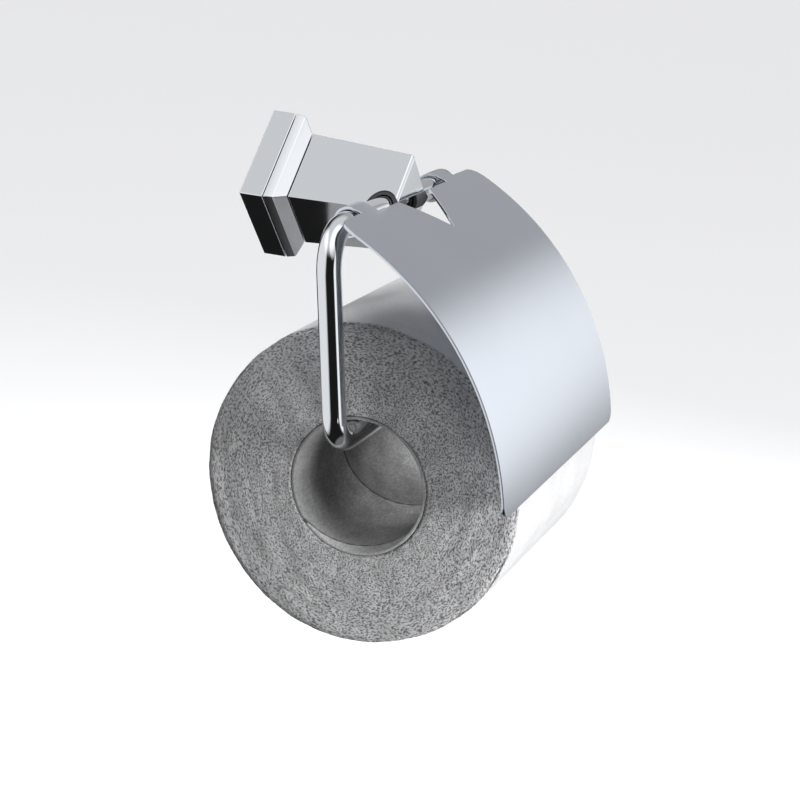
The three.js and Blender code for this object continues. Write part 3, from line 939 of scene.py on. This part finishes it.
def cardboard_core(roll):
    """A spiral-wound tube, with the open seam of its inner ply."""
    inner = roll.core_outer - roll.core_wall
    low, high, ease = -roll.half_width, roll.half_width, CORE_EASE
    profile = [(inner, x) for x in between(high - ease, low + ease, 60)]
    profile += [(inner, low + ease), (inner + ease, low), (roll.core_outer - ease, low)]
    profile += [(roll.core_outer, x) for x in between(low + ease, high - ease, 60)]
    profile += [(roll.core_outer, high - ease), (roll.core_outer - ease, high), (inner + ease, high)]
    tube = turned(profile, 120, ALONG_X)
    seam = [e for e in tube.edges if all(on_seam(v, inner) for v in e.verts)]
    bmesh.ops.bevel(
        tube, geom=seam, offset=SEAM_CUT["width"], offset_type="OFFSET", segments=2,
        profile=0.5, affect="EDGES", clamp_overlap=False, material=-1,
    )
    for vert in tube.verts:
        if on_seam(vert, inner):
            vert.co.z += SEAM_CUT["depth"]
        vert.co.rotate(Matrix.Rotation(SEAM_START - FULL_TURN * vert.co.x / roll.core_pitch, 3, "X"))
    bmesh.ops.translate(tube, verts=tube.verts, vec=ROLL_CENTRE)
    bmesh.ops.recalc_face_normals(tube, faces=tube.faces)
    return tube


def on_seam(vert, inner):
    """Whether a point lies on the line along the tube where the seam is cut."""
    return abs(vert.co.y) < WELD and abs(vert.co.z - inner) < WELD * 20


# ---- operators ----


class HOLDER_OT_flange(bpy.types.Operator):
    """Builds the flange's rim and its front part"""

    bl_idname = "holder.flange"
    bl_label = "Flange"

    def execute(self, context):
        sizes = context.scene.holder_flange
        finish_piece(flange_ring(sizes), "rim_ring", "mount", "flange_rim", flange_finish())
        finish_piece(flange_front(sizes), "flange_front", "mount", "wall_flange", flange_finish())
        return {"FINISHED"}


class HOLDER_OT_fixing(bpy.types.Operator):
    """Builds the bracket on the wall, the set screw, the post's bolt and its washer"""

    bl_idname = "holder.fixing"
    bl_label = "Wall fixing"

    def execute(self, context):
        sizes = context.scene.holder_flange
        steel = steel_finish()
        finish_piece(wall_bracket(sizes), "bracket_plate", "mount", "wall_bracket", steel)
        flat_half = sizes.half * math.sqrt(0.5)
        start = under_flange(sizes.lug_distance + LUG["thickness"] / 2 + SLIT, SET_SCREW["y"])
        end = under_flange(flat_half - SET_SCREW["sunk"], SET_SCREW["y"])
        screw = grub_screw(start, end, SET_SCREW["radius"])
        finish_piece(screw, "flange_grub_screw", "mount", "flange_set_screw", steel)
        finish_piece(post_bolt(sizes), "fixing_bolt", "mount", "post_bolt", steel)
        finish_piece(post_washer(sizes), "fixing_washer", "mount", "post_washer", steel)
        return {"FINISHED"}


class HOLDER_OT_post(bpy.types.Operator):
    """Builds the square post with its bores"""

    bl_idname = "holder.post"
    bl_label = "Post"

    def execute(self, context):
        post = square_post(context.scene.holder_flange, context.scene.holder_bar)
        finish_piece(post, "square_post", "mount", "post_body", post_finish())
        return {"FINISHED"}


class HOLDER_OT_bearings(bpy.types.Operator):
    """Builds the two nylon sleeves and the screw that holds the bar in the post"""

    bl_idname = "holder.bearings"
    bl_label = "Bearings"

    def execute(self, context):
        sizes = context.scene.holder_flange
        bar = context.scene.holder_bar
        nylon = kept("moulded nylon", moulded_nylon, context.scene.holder_colours.nylon)
        for side, name in ((-1, "near"), (1, "far")):
            sleeve = nylon_bush(side, sizes, bar)
            finish_piece(sleeve, f"sleeve_{name}", "mount", f"bush_{name}", nylon)
        inner = bar.radius - bar.groove_depth + SLIT
        outer = sizes.post_tip - AXLE_SCREW["sunk"]
        screw = grub_screw((0, HINGE.y, -inner), (0, HINGE.y, -outer), AXLE_SCREW["radius"])
        finish_piece(screw, "axle_grub_screw", "mount", "axle_screw", steel_finish())
        return {"FINISHED"}


class HOLDER_OT_bar(bpy.types.Operator):
    """Builds the bent bar, its end cap and its spring clip"""

    bl_idname = "holder.bar"
    bl_label = "Bar"

    def execute(self, context):
        bar = context.scene.holder_bar
        chrome = bar_finish()
        finish_piece(hanger_bar(bar), "bent_bar", "bar", "hanger_bar", chrome, flat=False)
        finish_piece(bar_cap(bar), "domed_cap", "bar", "bar_end_cap", chrome, flat=False)
        finish_piece(spring_clip(bar), "spring_clip", "bar", "cover_clip", steel_finish())
        return {"FINISHED"}


class HOLDER_OT_cover(bpy.types.Operator):
    """Builds the curved cover with its loops"""

    bl_idname = "holder.cover"
    bl_label = "Cover"

    def execute(self, context):
        sheet = curved_cover(context.scene.holder_cover, context.scene.holder_bar)
        finish_piece(sheet, "curved_cover", "cover", "cover_sheet", cover_finish())
        return {"FINISHED"}


class HOLDER_OT_roll(bpy.types.Operator):
    """Builds the wound paper and its cardboard core"""

    bl_idname = "holder.roll"
    bl_label = "Roll"

    def execute(self, context):
        roll = context.scene.holder_roll
        colours = context.scene.holder_colours
        board = kept("grey board", grey_board, colours.board, roll.core_pitch)
        core = cardboard_core(roll)
        finish_piece(core, "cardboard_core", "roll", "roll_core", board, False)
        tissue = kept("soft tissue", tissue_paper, colours.paper)
        finish_piece(wound_paper(roll), "wound_paper", "roll", "roll_paper", tissue, False, 180)
        return {"FINISHED"}


# ---- stage ----


def stage_floor(tint):
    material, tree, shader = blank("stage floor")
    tone = grain(tree, object_place(tree), 2.0, 2.0)
    tree.links.new(tinted(tree, tone, shade(tint, 0.995), tint), shader.inputs["Base Color"])
    shader.inputs["Roughness"].default_value = 0.9
    shader.inputs["Specular IOR Level"].default_value = 0.1
    return material


def add_floor(context):
    bm = bmesh.new()
    drop = Matrix.Translation((0, 0, CAD_BOX[0].z - FLOOR["below"]))
    bmesh.ops.create_grid(bm, x_segments=1, y_segments=1, size=FLOOR["size"], matrix=drop)
    floor = loose_object(bm, "floor")
    floor.data.materials.append(stage_floor(context.scene.holder_colours.floor))
    floor.visible_glossy = False
    floor.visible_diffuse = False


FLOOR = {"below": 0.45, "size": 40.0}
CAMERA = {
    "aim": Vector((-0.0057, -0.0573, -0.0680)),
    "distance": 0.740,
    "azimuth": math.radians(-71.25),
    "elevation": math.radians(15.95),
    "roll": math.radians(5.04),
    "lens": 95.6,
}


def add_camera(context):
    camera = bpy.data.objects.new("camera", bpy.data.cameras.new("camera"))
    context.scene.collection.objects.link(camera)
    azimuth, elevation = CAMERA["azimuth"], CAMERA["elevation"]
    level = math.cos(elevation)
    back = Vector((math.sin(azimuth) * level, -math.cos(azimuth) * level, math.sin(elevation)))
    look = back.to_track_quat("Z", "Y").to_matrix().to_4x4()
    place = Matrix.Translation(CAMERA["aim"] + back * CAMERA["distance"])
    camera.matrix_world = place @ look @ Matrix.Rotation(CAMERA["roll"], 4, "Z")
    camera.data.lens = CAMERA["lens"]
    camera.data.clip_start = 0.01
    context.scene.camera = camera


def add_soft_light(context, name, towards, distance, size, power):
    """A large soft box that lights the roll from a direction."""
    lamp = bpy.data.lights.new(name, "AREA")
    lamp.shape = "DISK"
    lamp.size = size
    lamp.energy = power
    light = bpy.data.objects.new(name, lamp)
    context.scene.collection.objects.link(light)
    out = Vector(towards).normalized()
    light.location = ROLL_CENTRE + out * distance
    light.rotation_mode = "QUATERNION"
    light.rotation_quaternion = out.to_track_quat("Z", "Y")
    light.visible_camera = False
    light.visible_glossy = False


def add_daylight(context, strength):
    """Even, soft light from straight overhead, mostly for the floor."""
    lamp = bpy.data.lights.new("daylight", "SUN")
    lamp.angle = DAYLIGHT_SPREAD
    lamp.energy = strength
    light = bpy.data.objects.new("daylight", lamp)
    context.scene.collection.objects.link(light)
    light.visible_glossy = False


def glow(tree, direction, towards, inner, outer, level):
    """Light from the part of the room round a direction, from its full level to none."""
    aim = Vector(towards).normalized()
    facing = node(
        tree, "ShaderNodeVectorMath", {0: direction, 1: aim}, operation="DOT_PRODUCT"
    ).outputs["Value"]
    return ranged(tree, facing, math.cos(math.radians(outer)), math.cos(math.radians(inner)), 0, level)


def add_room(context):
    """The room that the chrome mirrors: a pale ceiling, a white wall and window light in front."""
    world = bpy.data.worlds.new("room")
    context.scene.world = world
    world.use_nodes = True
    tree = world.node_tree
    tree.nodes.clear()
    direction = node(tree, "ShaderNodeTexCoord").outputs["Generated"]
    level = ROOM_GLIMMER
    for towards, inner, outer, strength in ROOM_LIGHT:
        level = sum_up(tree, "ADD", level, glow(tree, direction, towards, inner, outer, strength))
    path = node(tree, "ShaderNodeLightPath").outputs
    seen = node(tree, "ShaderNodeBackground", {"Color": (0.94, 0.945, 0.95, 1)})
    mirrored = node(tree, "ShaderNodeBackground", {"Color": (0.96, 0.98, 1, 1), "Strength": level})
    dim = sum_up(tree, "MULTIPLY", level, DIFFUSE_SHARE)
    soft = node(tree, "ShaderNodeBackground", {"Color": (0.98, 0.99, 1, 1), "Strength": dim})
    choice = {0: path["Is Diffuse Ray"], 1: mirrored.outputs[0], 2: soft.outputs[0]}
    lit = node(tree, "ShaderNodeMixShader", choice)
    choice = {0: path["Is Camera Ray"], 1: lit.outputs[0], 2: seen.outputs[0]}
    whole = node(tree, "ShaderNodeMixShader", choice)
    node(tree, "ShaderNodeOutputWorld", {"Surface": whole.outputs[0]})


SOFT_LIGHTS = (
    ("front light", (-0.25, -0.85, 0.30), 2.2, 1.0, 42),
    ("low light", (-0.30, -0.55, -0.45), 0.4, 0.2, 0.75),
    ("far light", (0.90, -0.10, 0.45), 1.5, 0.5, 14),
)
DAYLIGHT = 1.9
DAYLIGHT_SPREAD = math.radians(60)
ROOM_GLIMMER = 0.012  # the mirrored room's level where no light is
DIFFUSE_SHARE = 0.28
ROOM_LIGHT = (
    ((0, 0, 1), 35, 62, 0.72),  # ceiling
    ((-0.45, 0.87, 0.05), 45, 62, 0.90),  # wall behind the holder
    ((0.85, -0.52, 0.08), 6, 24, 0.75),  # window
    ((0.95, -0.15, 0.10), 20, 50, 0.42),  # far side of the room
    ((0.15, -0.97, 0.05), 26, 36, 1.15),  # soft box in front
    ((-0.2, -0.45, 0.87), 30, 40, 0.55),  # soft box overhead
    ((0.35, -0.30, -0.85), 28, 36, 0.16),  # floor in front
    ((-0.51, -0.82, -0.27), 3, 6, 0.9),  # narrow strip beside the camera
)


class HOLDER_OT_stage(bpy.types.Operator):
    """Sets the floor, the soft light, the mirrored room and the camera"""

    bl_idname = "holder.stage"
    bl_label = "Stage"

    def execute(self, context):
        add_floor(context)
        add_room(context)
        for name, towards, distance, size, power in SOFT_LIGHTS:
            add_soft_light(context, name, towards, distance, size, power)
        add_daylight(context, DAYLIGHT)
        add_camera(context)
        context.scene.view_settings.view_transform = "Standard"
        return {"FINISHED"}


class HOLDER_PT_panel(bpy.types.Panel):
    """Lists the holder's pieces"""

    bl_label = "Toilet Paper Holder"
    bl_space_type = "VIEW_3D"
    bl_region_type = "UI"
    bl_category = "Holder"

    def draw(self, context):
        for operator in OPERATORS:
            self.layout.operator(operator.bl_idname)
        for group in GROUPS:
            settings = getattr(context.scene, group)
            self.layout.label(text=group.replace("_", " ").capitalize())
            for name in settings.bl_rna.properties.keys():
                if name not in ("rna_type", "name"):
                    self.layout.prop(settings, name)


GROUPS = {
    "holder_flange": FlangeSizes,
    "holder_bar": BarSizes,
    "holder_cover": CoverSizes,
    "holder_roll": RollSizes,
    "holder_colours": HolderColours,
}
OPERATORS = (
    HOLDER_OT_flange,
    HOLDER_OT_fixing,
    HOLDER_OT_post,
    HOLDER_OT_bearings,
    HOLDER_OT_bar,
    HOLDER_OT_cover,
    HOLDER_OT_roll,
    HOLDER_OT_stage,
)


def register():
    for cls in (*GROUPS.values(), *OPERATORS, HOLDER_PT_panel):
        bpy.utils.register_class(cls)
    for name, group in GROUPS.items():
        setattr(bpy.types.Scene, name, PointerProperty(type=group))


def unregister():
    for name in GROUPS:
        delattr(bpy.types.Scene, name)
    for cls in reversed((*GROUPS.values(), *OPERATORS, HOLDER_PT_panel)):
        bpy.utils.unregister_class(cls)


def main():
    register()
    for operator in OPERATORS:
        group, name = operator.bl_idname.split(".")
        getattr(getattr(bpy.ops, group), name)()


if __name__ == "__main__":
    main()
